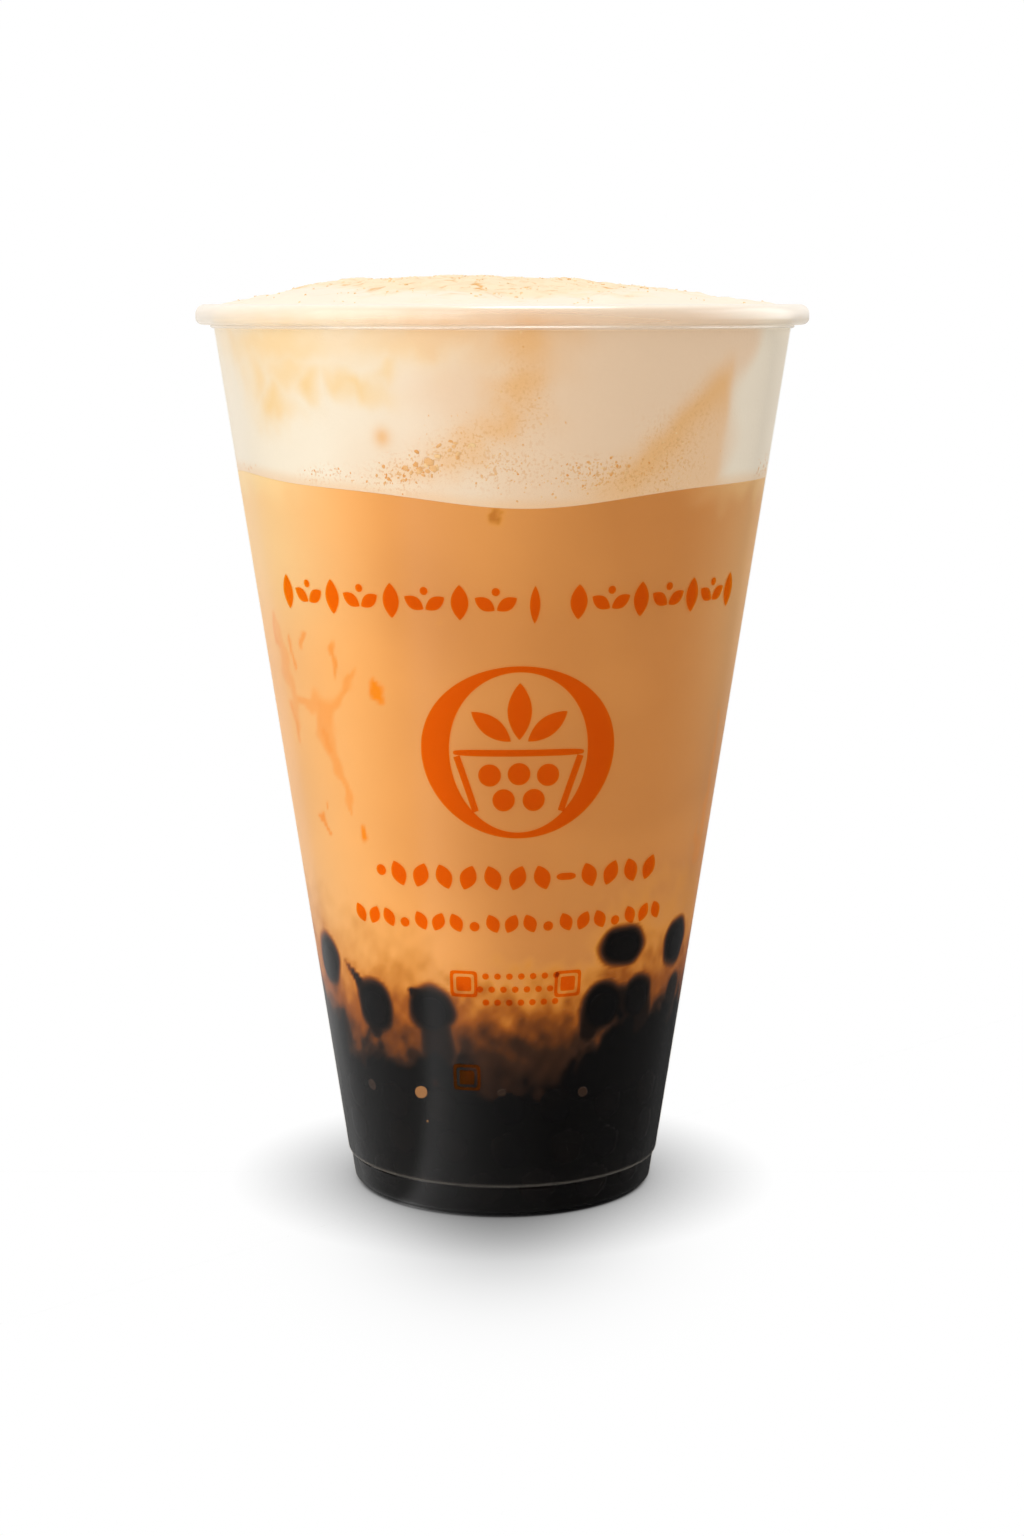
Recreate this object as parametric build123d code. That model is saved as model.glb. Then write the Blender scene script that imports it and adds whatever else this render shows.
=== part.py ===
from build123d import *

import os
from math import cos, exp, hypot, pi, radians, sin

# Bubble tea in an open polypropylene takeaway cup. Millimetres, +Z up, the front at -Y.
# The origin is the centre of the ring that the cup stands on.

# Cup
cup_height = 140.0
rim_diameter = 95.0
rim_band = 3.1  # height of the rolled rim
rim_overhang = 2.65  # from the wall's outside to the rim's edge
rim_skin = 0.6  # thickness of the roll
rim_top_round = 1.5
rim_bottom_round = 1.0
rim_lip_round = 0.25  # inner edge of the mouth
roll_gap = 0.3  # slit where the roll comes back to the wall
bead_height = 0.5  # fine bead right under the rim
bead_depth = 0.4
wall = 0.6
shoulder_diameter = 50.2  # outside of the wall at the stacking shoulder
shoulder_height = 5.2
shoulder_step = 0.35  # how far the foot is set in
shoulder_drop = 0.3  # height of that step
floor_thickness = 0.8
floor_round = 1.0
punt_depth = 1.5  # how far the underside is raised
resting_ring = 1.6  # width of the ring that touches the table
foot_round = 1.0

# Milk foam
foam_depth = 26.3  # from the rim down to the tea, away from the dips
foam_edge_drop = 0.4  # how far below the rim the foam meets the cup
dome_rise = 4.6  # peak of the foam above the rim
dome_peak = (-7.0, 2.0)  # where the peak is
foam_dips = [  # where the foam hangs into the tea: azimuth in degrees, depth, width
    (5.0, 2.6, 18.5),
    (118.0, 1.6, 15.0),
    (-135.0, 2.1, 20.0),
]

# Tapioca pearls and their syrup
heap_height = 30.0  # mean top of the heap
heap_bump = 1.1  # how far its pearls stand up
heap_lift = 2.2  # how much higher the heap lies on the left
pearl_pitch = 8.6  # spacing of those bumps
pearl_diameter = 7.4
pearl_film = 0.1  # tea between a pearl and the wall
loose_pearls = [  # azimuth in degrees (front is 0), centre above heap_height, size
    (-21.7, 4.6, 1.00),
    (-42.1, 4.2, 1.02),
    (-63.3, 8.8, 0.98),
    (30.2, 4.6, 1.00),
    (47.2, 5.0, 0.92),
    (37.0, 13.6, 1.00),
    (63.0, 11.6, 0.98),
    (99.0, 5.2, 1.00),
    (121.0, 12.0, 0.95),
    (144.0, 5.6, 1.03),
    (171.0, 4.8, 0.98),
    (-158.0, 10.5, 1.00),
    (-128.0, 5.4, 1.04),
    (-97.0, 6.0, 0.97),
]

# Worked out from the sizes above
rim_radius = rim_diameter / 2
rim_bottom = cup_height - rim_band
neck_radius = rim_radius - rim_overhang
shoulder_radius = shoulder_diameter / 2
taper = (neck_radius - shoulder_radius) / (rim_bottom - shoulder_height)
floor_height = punt_depth + floor_thickness
foam_edge_height = cup_height - foam_edge_drop
foam_bottom = cup_height - foam_depth
above_all = cup_height + dome_rise + 10
far_down = Vector(0, 0, -2 * above_all)


def wall_radius(z):
    """Outside of the tapered wall at height z."""
    return shoulder_radius + taper * (z - shoulder_height)


def inner_radius(z):
    """Inside of the tapered wall at height z."""
    return wall_radius(z) - wall


def foot_radius(z):
    """Outside of the foot, which keeps the wall's taper under the step."""
    return wall_radius(z) - shoulder_step


def turned(points, rounds):
    """Solid of revolution about Z of a closed outline of (radius, height), each corner with its round."""
    outline = FilletPolyline(*points, radius=rounds, close=True)
    return revolve(Plane.XZ * make_face(outline), Axis.Z)


def at_azimuth(azimuth, radius):
    """Point on a circle, with azimuth 0 at the front and growing to the right."""
    turn = radians(azimuth)
    return radius * sin(turn), -radius * cos(turn)


def below(height, reach, step):
    """Everything under the surface z = height(x, y), over a square of half side reach."""
    count = round(2 * reach / step)
    ticks = [reach * (2 * i / count - 1) for i in range(count + 1)]
    rows = [[Vector(x, y, height(x, y)) for y in ticks] for x in ticks]
    top = Face.make_surface_from_array_of_points(rows, tol=0.01, min_deg=3, max_deg=5)
    return Solid.extrude(top, far_down)


def make_cup():
    """Tapered wall, stepped foot and raised floor, with a hollow rolled rim and a bead under it."""
    step_top = shoulder_height + shoulder_drop / 2
    step_bottom = shoulder_height - shoulder_drop / 2
    ring_inside = foot_radius(0) - foot_round - resting_ring
    shell = turned(
        [
            (0, punt_depth),
            (ring_inside - punt_depth, punt_depth),
            (ring_inside, 0),
            (foot_radius(0), 0),
            (foot_radius(step_bottom), step_bottom),
            (wall_radius(step_top), step_top),
            (wall_radius(rim_bottom), rim_bottom),
            (inner_radius(rim_bottom), rim_bottom),
            (inner_radius(step_top), step_top),
            (foot_radius(step_bottom) - wall, step_bottom),
            (foot_radius(floor_height) - wall, floor_height),
            (0, floor_height),
        ],
        [0, 0.4, 0.4, foot_round, 0, 0, 0, 0, 0, 0, floor_round, 0],
    )
    rim = turned(
        [
            (inner_radius(rim_bottom), rim_bottom),
            (rim_radius, rim_bottom),
            (rim_radius, cup_height),
            (inner_radius(cup_height), cup_height),
        ],
        [0, rim_bottom_round, rim_top_round, rim_lip_round],
    )
    hollow = turned(
        [
            (wall_radius(rim_bottom), rim_bottom + rim_skin),
            (rim_radius - rim_skin, rim_bottom + rim_skin),
            (rim_radius - rim_skin, cup_height - rim_skin),
            (wall_radius(cup_height), cup_height - rim_skin),
        ],
        [0, rim_bottom_round - rim_skin, rim_top_round - rim_skin, 0],
    )
    bead_radius = neck_radius + bead_depth
    bead = turned(
        [
            (neck_radius - wall / 2, rim_bottom - bead_height),
            (bead_radius, rim_bottom - bead_height),
            (bead_radius, rim_bottom + rim_skin),
            (neck_radius - wall / 2, rim_bottom + rim_skin),
        ],
        [0, bead_depth / 2, 0, 0],
    )
    slit = turned(
        [
            (bead_radius, rim_bottom - bead_height),
            (bead_radius + roll_gap, rim_bottom - bead_height),
            (bead_radius + roll_gap, rim_bottom + 2 * rim_skin),
            (bead_radius, rim_bottom + 2 * rim_skin),
        ],
        [0, 0, 0, 0],
    )
    return shell + (rim - hollow) + bead - slit


def make_inside():
    """The space that the cup's inner surface bounds, carried on past the rim for the foam."""
    step_top = shoulder_height + shoulder_drop / 2
    step_bottom = shoulder_height - shoulder_drop / 2
    return turned(
        [
            (0, floor_height),
            (foot_radius(floor_height) - wall, floor_height),
            (foot_radius(step_bottom) - wall, step_bottom),
            (inner_radius(step_top), step_top),
            (inner_radius(above_all), above_all),
            (0, above_all),
        ],
        [0, floor_round, 0, 0, 0, 0],
    )


def dome_height(x, y):
    """Foam's top: it falls from its off-centre peak to a circle at the cup's wall.

    The fall goes with the square of the share of the way from the peak to that circle.
    """
    edge_radius = inner_radius(foam_edge_height)
    dx = x - dome_peak[0]
    dy = y - dome_peak[1]
    run = hypot(dx, dy)
    if run == 0:
        return cup_height + dome_rise
    along = (dome_peak[0] * dx + dome_peak[1] * dy) / run
    room = edge_radius**2 - dome_peak[0] ** 2 - dome_peak[1] ** 2
    share = run / ((along**2 + room) ** 0.5 - along)
    return foam_edge_height + (dome_rise + foam_edge_drop) * (1 - share**2)


def foam_underside(x, y):
    """Level line between foam and tea, with a round dip wherever the foam hangs lower."""
    level = foam_bottom
    for azimuth, depth, width in foam_dips:
        dip_x, dip_y = at_azimuth(azimuth, inner_radius(foam_bottom))
        level -= depth * exp(-((x - dip_x) ** 2 + (y - dip_y) ** 2) / width**2)
    return level


def heap_top(x, y):
    """Heap's top: a slope up to the left, with rows of pearl-sized bumps in three directions."""
    waves = 0
    for turn in (15, 75, 135):
        along = x * cos(radians(turn)) + y * sin(radians(turn))
        waves += cos(2 * pi * along / pearl_pitch)
    slope = -heap_lift * x / inner_radius(heap_height)
    return heap_height + slope + heap_bump * waves / 2


def make_pearl(azimuth, height, size):
    """One soft pearl: a ball lying against the wall, with only a film of tea between."""
    radius = size * pearl_diameter / 2
    to_wall = (radius + pearl_film) * hypot(1, taper)
    return Pos(*at_azimuth(azimuth, inner_radius(height) - to_wall), height) * Sphere(radius)


def make_pearls():
    """Loose pearls by their names, each dented by the earlier ones that it is pressed on."""
    pearls = {}
    for number, (azimuth, above_heap, size) in enumerate(loose_pearls, 1):
        pearl = make_pearl(azimuth, heap_height + above_heap, size)
        for earlier in pearls.values():
            pearl -= earlier
        pearls[f"pearl_{number}"] = pearl
    return pearls


def make_all():
    """Every piece by its name, cut from one space so that neighbours share their faces."""
    inside = make_inside()
    reach = inner_radius(cup_height) + 6
    heap_reach = inner_radius(heap_height) + 4
    under_dome = below(dome_height, reach, 2.5)
    under_foam = below(foam_underside, reach, 4.0)
    under_heap = below(heap_top, heap_reach, pearl_pitch / 6)
    pieces = {"cup": make_cup()}
    pearls = make_pearls()
    heap = inside & under_heap
    tea = (inside & under_foam) - under_heap
    for pearl in pearls.values():
        heap -= pearl
        tea -= pearl
    pieces["foam"] = (inside & under_dome) - under_foam
    pieces["tea"] = tea
    pieces["pearl_heap"] = heap
    return pieces | pearls


os.makedirs("parts", exist_ok=True)
for name, piece in make_all().items():
    export_step(piece, f"parts/{name}.step")
    print(name, round(piece.volume, 1))
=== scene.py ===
"""Milk tea with tapioca pearls and a foam crown in a polypropylene cup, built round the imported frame.

Lengths are in millimetres until a mesh is made. Azimuth 0 is the front (-Y) and grows to the right.
"""

import bpy
import numpy as np
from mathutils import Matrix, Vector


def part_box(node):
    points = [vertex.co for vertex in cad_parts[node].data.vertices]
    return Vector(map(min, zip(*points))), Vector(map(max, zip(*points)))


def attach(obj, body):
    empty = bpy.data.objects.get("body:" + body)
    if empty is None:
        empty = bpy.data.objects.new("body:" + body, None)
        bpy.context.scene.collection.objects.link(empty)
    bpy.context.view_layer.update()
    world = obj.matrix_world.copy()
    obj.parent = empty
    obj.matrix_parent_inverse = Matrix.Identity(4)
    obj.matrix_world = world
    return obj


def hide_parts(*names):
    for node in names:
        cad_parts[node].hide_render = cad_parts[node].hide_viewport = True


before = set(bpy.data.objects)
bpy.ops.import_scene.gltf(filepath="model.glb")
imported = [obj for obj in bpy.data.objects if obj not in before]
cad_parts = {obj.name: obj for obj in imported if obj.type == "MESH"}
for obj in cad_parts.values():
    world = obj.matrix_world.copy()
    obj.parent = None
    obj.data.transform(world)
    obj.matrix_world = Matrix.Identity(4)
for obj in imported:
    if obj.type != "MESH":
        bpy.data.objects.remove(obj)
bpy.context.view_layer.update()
MM = 0.001

# Cup
CUP_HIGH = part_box("cup")[1]
RIM_RADIUS = CUP_HIGH.x / MM
RIM_TOP = CUP_HIGH.z / MM
RIM_BAND = 3.1
RIM_OVERHANG = 2.65
RIM_BOTTOM = RIM_TOP - RIM_BAND
RIM_TOP_ROUND = 1.5
RIM_BOTTOM_ROUND = 1.0
LIP_ROUND = 0.25
BEAD_HEIGHT = 0.5
BEAD_DEPTH = 0.4
WALL = 0.6
SHOULDER_RADIUS = 25.1
SHOULDER_HEIGHT = 5.2
SHOULDER_STEP = 0.35
SHOULDER_DROP = 0.3
FOOT_ROUND = 1.0
PUNT_DEPTH = 1.5
FLOOR_HEIGHT = 2.3
FLOOR_ROUND = 1.0
TAPER = (RIM_RADIUS - RIM_OVERHANG - SHOULDER_RADIUS) / (RIM_BOTTOM - SHOULDER_HEIGHT)
SKIN_DEPTH = 0.14  # contents' depth behind the cup's outside, as a filled clear cup looks full to its outline
INK_THICK = 0.05

# Contents
FOAM_EDGE = RIM_TOP - 0.4
FOAM_LEVEL = 113.7
# Where the foam hangs into the tea, or stands higher: azimuth, depth, width
FOAM_DIPS = ((5.0, 2.6, 18.5), (118.0, 1.6, 15.0), (-135.0, 2.1, 20.0), (-72.0, -1.2, 14.0))
DOME_RISE = 4.6
DOME_PEAK = (-7.0, 2.0)
SYRUP_TOP = 19.0  # where the black syrup ends and the stained tea begins
SYRUP_BOTTOM = 0.9
PEARL_RADIUS = 3.7
LOOSE_PEARLS = (  # azimuth, height, half size across and up, lean in degrees
    (-21.7, 33.9, 3.6, 3.7, 10),
    (-42.1, 33.2, 3.5, 4.2, 12),
    (-64.5, 38.6, 3.4, 3.9, 0),
    (31.6, 34.0, 3.7, 4.0, -8),
    (45.0, 34.4, 3.3, 3.6, 0),
    (37.0, 43.4, 4.1, 3.0, -5),
    (62.5, 41.6, 3.5, 3.7, 0),
    (99.0, 35.2, 3.7, 3.6, 0),
    (121.0, 42.0, 3.4, 3.6, 15),
    (144.0, 35.6, 3.8, 3.7, 0),
    (171.0, 34.8, 3.6, 3.8, -12),
    (-158.0, 40.5, 3.9, 3.4, 0),
    (-128.0, 35.4, 3.8, 3.9, 8),
    (-97.0, 36.0, 3.5, 3.7, 0),
)


# Helpers


def smooth(low, high, value):
    """Rises from 0 at low to 1 at high with level ends: t squared times (3 - 2 t)."""
    t = np.clip((value - low) / (high - low), 0, 1)
    return t * t * (3 - 2 * t)


def bell(value, middle, width):
    """Bell curve of unit height: exp(-((value - middle) / width)^2)."""
    return np.exp(-(((value - middle) / width) ** 2))


def wrap(degrees):
    """Angle brought between -180 and 180."""
    return (degrees + 180) % 360 - 180


def turned(azimuth, radius, height):
    """Points at that azimuth, radius and height: x = r sin a, y = -r cos a."""
    angle = np.radians(azimuth)
    return np.stack(np.broadcast_arrays(radius * np.sin(angle), -radius * np.cos(angle), height), -1)


def azimuth_of(points):
    """Azimuth of points in degrees, measured from -Y."""
    return np.degrees(np.arctan2(points[..., 0], -points[..., 1]))


def wall_radius(height):
    """Outside of the cup's wall: a straight taper, set in by the step below the shoulder."""
    step = SHOULDER_STEP * (1 - smooth(-SHOULDER_DROP / 2, SHOULDER_DROP / 2, height - SHOULDER_HEIGHT))
    return SHOULDER_RADIUS + TAPER * (height - SHOULDER_HEIGHT) - step


def skin_radius(height):
    """Outside of the contents as the eye meets them through the wall."""
    return wall_radius(height) - SKIN_DEPTH


def waves(points, size, seed, count=20):
    """Smooth random field of about unit height: the sum of cosine waves of random direction and phase.

    size is the length of a typical wave in millimetres.
    """
    rng = np.random.default_rng(seed)
    total = np.zeros(points.shape[:-1])
    for _ in range(count):
        direction = rng.normal(size=3)
        direction *= 2 * np.pi / size * rng.uniform(0.6, 1.7) / np.linalg.norm(direction)
        total += np.cos(points @ direction + rng.uniform(0, 2 * np.pi))
    return total * (2 / count) ** 0.5


def blot(azimuth, height, place, half_size, lean=0.0):
    """Soft round patch on the wall: exp(-(s/w)^2 - (t/h)^2), s along the wall and t up, turned by lean."""
    s = np.radians(wrap(azimuth - place[0])) * wall_radius(place[1])
    t = height - place[1]
    angle = np.radians(lean)
    across = s * np.cos(angle) + t * np.sin(angle)
    along = t * np.cos(angle) - s * np.sin(angle)
    return np.exp(-((across / half_size[0]) ** 2) - (along / half_size[1]) ** 2)


def blots(azimuth, height, spots, field=0.0):
    """The strongest of a field and several blots, each given by its place, half size, lean and strength."""
    field = np.full(np.shape(azimuth), field)
    for place, half_size, lean, strength in spots:
        field = np.maximum(field, strength * blot(azimuth, height, place, half_size, lean))
    return field


def stroke(azimuth, height, route, widths):
    """Soft brush stroke along a route of (azimuth, height): 1 at its line, half at the given half width."""
    best = np.zeros(np.shape(azimuth))
    for (a0, h0), (a1, h1), w0, w1 in zip(route, route[1:], widths, widths[1:]):
        scale = np.radians(1) * wall_radius((h0 + h1) / 2)
        sx, sy = (a1 - a0) * scale, h1 - h0
        px, py = wrap(azimuth - a0) * scale, height - h0
        share = np.clip((px * sx + py * sy) / (sx * sx + sy * sy), 0, 1)
        distance = np.hypot(px - share * sx, py - share * sy)
        width = w0 + (w1 - w0) * share
        best = np.maximum(best, 1 - smooth(0.55, 1.45, distance / width))
    return best


def add_mesh(name, points, faces, fields, material, stands_for=()):
    """Object from points in millimetres, faces and named per-point fields. It rides on the root body."""
    mesh = bpy.data.meshes.new(name)
    mesh.from_pydata((np.asarray(points) * MM).tolist(), [], [f for group in faces for f in group.tolist()])
    for field, values in fields.items():
        layer = mesh.attributes.new(field, "FLOAT", "POINT")
        layer.data.foreach_set("value", np.asarray(values, np.float32).ravel())
    mesh.shade_smooth()
    mesh.materials.append(material)
    piece = bpy.data.objects.new(name, mesh)
    bpy.context.scene.collection.objects.link(piece)
    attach(piece, "root")
    if stands_for:
        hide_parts(*stands_for)


def ring_faces(rows, count):
    """Quads between rows of closed rings, and the two fans that close the ends on their centre points."""
    j = np.arange(count)
    after = (j + 1) % count
    i = np.arange(rows - 1)[:, None] * count
    sides = np.stack([i + j, i + after, i + count + after, i + count + j], -1).reshape(-1, 4)
    first, last = rows * count, (rows - 1) * count
    low = np.stack([np.full(count, first), after, j], -1)
    high = np.stack([np.full(count, first + 1), last + j, last + after], -1)
    return [sides, low, high]


def quads(number):
    """Quads of a grid of points, from the grid of their numbers."""
    corners = [number[:-1, :-1], number[:-1, 1:], number[1:, 1:], number[1:, :-1]]
    return np.stack(corners, -1).reshape(-1, 4)


def ring_points(rings):
    """Ring points as one list, with the centre of the first ring and of the last at its end."""
    return np.vstack([rings.reshape(-1, 3), rings[0].mean(0), rings[-1].mean(0)])


def add_turned(name, rings, fields, material, stands_for=()):
    """Closed body of rings. fields is a function that gives its per-point fields for the body's points."""
    points = ring_points(rings)
    add_mesh(name, points, ring_faces(*rings.shape[:2]), fields(points), material, stands_for)


def held(points, proud):
    """Points brought in to at most that far outside the contents' skin."""
    radius = np.hypot(points[:, 0], points[:, 1])
    points[:, :2] *= (np.minimum(radius, skin_radius(points[:, 2]) + proud) / radius)[:, None]
    return points


def join(shapes):
    """Several (points, faces) as one, each face's numbers moved on by the points before it."""
    start, points, faces = 0, [], []
    for shape_points, shape_faces in shapes:
        points.append(shape_points)
        faces += [group + start for group in shape_faces]
        start += len(shape_points)
    return np.vstack(points), faces


# Materials


def colour(code):
    """sRGB hex code as linear RGBA."""
    parts = np.array([int(code[i : i + 2], 16) for i in (0, 2, 4)]) / 255
    linear = np.where(parts <= 0.04045, parts / 12.92, ((parts + 0.055) / 1.055) ** 2.4)
    return (*linear.tolist(), 1.0)


def add(tree, kind, inputs=(), **settings):
    """Adds a node. inputs go by socket name or number: a value, an output, or a node for its first output."""
    new = tree.nodes.new("ShaderNode" + kind)
    for key, value in settings.items():
        setattr(new, key, value)
    for key, value in dict(inputs).items():
        socket = new.inputs[key]
        if isinstance(value, bpy.types.Node):
            value = value.outputs[0]
        if isinstance(value, bpy.types.NodeSocket):
            tree.links.new(value, socket)
        else:
            socket.default_value = value
    return new


def start_material(name):
    """New material and its node tree, which is still empty."""
    material = bpy.data.materials.new(name)
    material.use_nodes = True
    tree = material.node_tree
    tree.nodes.clear()
    return material, tree


def end_material(material, tree, shader):
    """Leads a shader to the material's surface, and gives the material."""
    add(tree, "OutputMaterial", {"Surface": shader})
    return material


def set_stops(ramp, stops):
    """Gives a colour ramp its stops in rising order, each a position and a linear colour."""
    elements = ramp.color_ramp.elements
    while len(elements) < len(stops):
        elements.new(len(elements) / (len(stops) + 1))
    ordered = sorted(elements, key=lambda element: element.position)
    for element, (position, shade) in zip(ordered, stops):
        element.position = position
        element.color = shade


def layered(tree, base, layers):
    """Colour of a base with layers over it: each is a per-point field's name and the hex colour it brings."""
    for field, code in layers:
        share = add(tree, "Attribute", attribute_name=field).outputs["Fac"]
        base = add(tree, "Mix", {0: share, 6: base, 7: colour(code)}, data_type="RGBA").outputs[2]
    return base


def polypropylene():
    """Moulded polypropylene, satin outside: clear over the contents, milky where the rim is seen edge on.

    The milkiness field says how milky it is where the eye meets it at a slant, and a face seen square on has
    about a third of that; on the bead and at the shoulder step its milky bands are painted highlight lines.
    Most light goes on through it. A rough Fresnel reflection lies over its outer side, and the glint field
    raises it on round edges.
    """
    material, tree = start_material("moulded polypropylene")
    haze_and_highlight = add(tree, "Attribute", attribute_name="haze_and_highlight").outputs["Fac"]
    slant = add(tree, "LayerWeight", {"Blend": 0.5}).outputs["Facing"]
    slant = add(tree, "MapRange", {"Value": slant, "From Max": 0.8, "To Min": 0.36})
    haze_and_highlight = add(tree, "Math", {0: haze_and_highlight, 1: slant}, operation="MULTIPLY")
    light = add(tree, "LightPath").outputs["Is Shadow Ray"]
    through = add(tree, "MapRange", {"Value": light, "To Min": 1.0, "To Max": 0.25})
    haze_and_highlight = add(tree, "Math", {0: haze_and_highlight, 1: through}, operation="MULTIPLY")
    finish = {"Base Color": colour("f8ecda"), "Roughness": 0.34, "IOR": 1.49, "Specular IOR Level": 0.2}
    milky = add(tree, "BsdfPrincipled", finish)
    clear = add(tree, "BsdfTransparent", {"Color": colour("fffefc")})
    body = add(tree, "MixShader", {0: haze_and_highlight, 1: clear, 2: milky})
    gloss = add(tree, "BsdfGlossy", {"Color": colour("ffffff"), "Roughness": 0.2})
    fresnel = add(tree, "Fresnel", {"IOR": 1.45})
    fresnel = add(tree, "Math", {0: fresnel, 1: 0.2}, operation="MINIMUM")
    glint = add(tree, "Attribute", attribute_name="glint").outputs["Fac"]
    fresnel = add(tree, "Math", {0: fresnel, 1: glint}, operation="MAXIMUM")
    inside = add(tree, "NewGeometry").outputs["Backfacing"]
    share = add(tree, "Mix", {0: inside, 2: fresnel, 3: 0.0})
    shine = add(tree, "MixShader", {0: share, 1: body, 2: gloss})
    return end_material(material, tree, shine)


def milk_foam():
    """Whipped milk foam: matt and fine-pored, with butter-yellow and tan clouds and a toasted crust on top.

    Where the grain field is up, fine brown sugar speckles it.
    """
    material, tree = start_material("whipped milk foam")
    place = add(tree, "TexCoord").outputs["Object"]
    layers = (
        ("beige", "f4d6b6"),
        ("butter", "f9d391"),
        ("tan", "f3bd7d"),
        ("crust", "fae6c4"),
        ("toast", "e3a03a"),
    )
    base = layered(tree, colour("f9eeda"), layers)
    grain = add(tree, "Attribute", attribute_name="grain").outputs["Fac"]
    # Fine sugar is 0.1 to 0.2 mm, drawn 0.4 mm coarse so that it shows
    fleck = add(tree, "TexNoise", {"Vector": place, "Scale": 2.3 / MM, "Detail": 1.0})
    fleck = add(tree, "MapRange", {"Value": fleck, "From Min": 0.54, "From Max": 0.66})
    fleck = add(tree, "Math", {0: fleck, 1: grain}, operation="MULTIPLY")
    base = add(tree, "Mix", {0: fleck, 6: base, 7: colour("e6b074")}, data_type="RGBA").outputs[2]
    # Pores 0.55 mm apart, the widest in such foam
    pores = add(tree, "TexVoronoi", {"Vector": place, "Scale": 1.8 / MM})
    bump = add(tree, "Bump", {"Height": pores, "Strength": 0.12, "Distance": 0.2 * MM})
    finish = {"Base Color": base, "Roughness": 0.62, "IOR": 1.35, "Specular IOR Level": 0.25, "Normal": bump}
    foam = add(tree, "BsdfPrincipled", finish)
    return end_material(material, tree, foam)


def milk_tea():
    """Milk tea: an opaque warm tan, hardly glossy behind the plastic, stained by syrup up to black."""
    material, tree = start_material("milk tea with brown sugar")
    place = add(tree, "TexCoord").outputs["Object"]
    # The cream-coloured layer is a painted sheen towards the front's left and right edges, partly foam mixed
    # in.
    layers = (("deep", "d38b4a"), ("sheen_and_foam_mix", "ffda9b"), ("caramel", "fc8e0e"))
    base = layered(tree, colour("fcb061"), layers)
    syrup = add(tree, "Attribute", attribute_name="syrup").outputs["Fac"]
    stain = add(tree, "ValToRGB", {"Fac": syrup})
    places = (0.0, 0.12, 0.24, 0.36, 0.5, 0.62, 0.76, 1.0)
    codes = ("eba453", "e09544", "c87a2e", "a45a1e", "7c431a", "613619", "3b2518", "080707")
    set_stops(stain, [(position, colour(code)) for position, code in zip(places, codes)])
    share = add(tree, "MapRange", {"Value": syrup, "From Max": 0.14})
    base = add(tree, "Mix", {0: share, 6: base, 7: stain}, data_type="RGBA").outputs[2]
    # Clouds of milk about 11 mm wide
    cloud = add(tree, "TexNoise", {"Vector": place, "Scale": 0.09 / MM, "Detail": 3.0})
    light = add(tree, "MapRange", {"Value": cloud, "To Min": 0.96, "To Max": 1.04})
    base = add(tree, "Mix", {0: 1.0, 6: base, 7: light}, data_type="RGBA", blend_type="MULTIPLY").outputs[2]
    finish = {"Base Color": base, "Roughness": 0.5, "IOR": 1.35, "Specular IOR Level": 0.03}
    tea = add(tree, "BsdfPrincipled", finish)
    return end_material(material, tree, tea)


def tapioca():
    """Cooked tapioca in brown sugar syrup: near black, with a brown or bluish cast from pearl to pearl."""
    material, tree = start_material("cooked tapioca pearl")
    place = add(tree, "TexCoord").outputs["Object"]
    # The cast changes about every 6 mm, a little less than a pearl
    cast = add(tree, "TexNoise", {"Vector": place, "Scale": 0.16 / MM, "Detail": 1.0})
    share = add(tree, "MapRange", {"Value": cast, "From Min": 0.35, "From Max": 0.65})
    base = add(tree, "Mix", {0: share, 6: colour("070607"), 7: colour("0c0908")}, data_type="RGBA").outputs[2]
    finish = {"Base Color": base, "Roughness": 0.5, "IOR": 1.42, "Specular IOR Level": 0.03}
    pearl = add(tree, "BsdfPrincipled", finish)
    return end_material(material, tree, pearl)


def print_ink():
    """Screen-printed orange ink: mostly a filter, so it glows over tea and all but vanishes over pearls."""
    material, tree = start_material("screen-printed orange ink")
    film = add(tree, "BsdfTransparent", {"Color": colour("ffde74")})
    finish = {"Base Color": colour("d9844a"), "Roughness": 0.4, "IOR": 1.5, "Specular IOR Level": 0.1}
    ink = add(tree, "BsdfPrincipled", finish)
    both = add(tree, "MixShader", {0: 0.03, 1: film, 2: ink})
    return end_material(material, tree, both)


def crumb():
    """Toasted crumbs: golden to brown, dry and matt, each with its own shade."""
    material, tree = start_material("toasted crumb")
    base = layered(tree, colour("f8d9a6"), [("shade", "e8a358")])
    finish = {"Base Color": base, "Roughness": 0.7, "IOR": 1.45, "Specular IOR Level": 0.3}
    dry = add(tree, "BsdfPrincipled", finish)
    return end_material(material, tree, dry)


def amber_sugar():
    """Half-melted brown sugar: dull amber against the black syrup, some lumps nearly as dark as it."""
    material, tree = start_material("half-melted brown sugar")
    base = layered(tree, colour("1c0e07"), [("shade", "c0854c")])
    finish = {"Base Color": base, "Roughness": 0.5, "IOR": 1.5, "Specular IOR Level": 0.2}
    lump = add(tree, "BsdfPrincipled", finish)
    return end_material(material, tree, lump)


PLASTIC = polypropylene()
FOAM = milk_foam()
TEA = milk_tea()
PEARL = tapioca()
INK = print_ink()
CRUMB = crumb()
AMBER = amber_sugar()


# Cup


def corner(centre, radius, start, stop, count):
    """Arc of (radius, height) points about a centre from one angle to another, in degrees from outwards."""
    angle = np.radians(np.linspace(start, stop, count))
    return np.stack([centre[0] + radius * np.cos(angle), centre[1] + radius * np.sin(angle)], -1)


def line(first, last, count):
    """Straight run of (radius, height) points."""
    return np.linspace(first, last, count)


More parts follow.
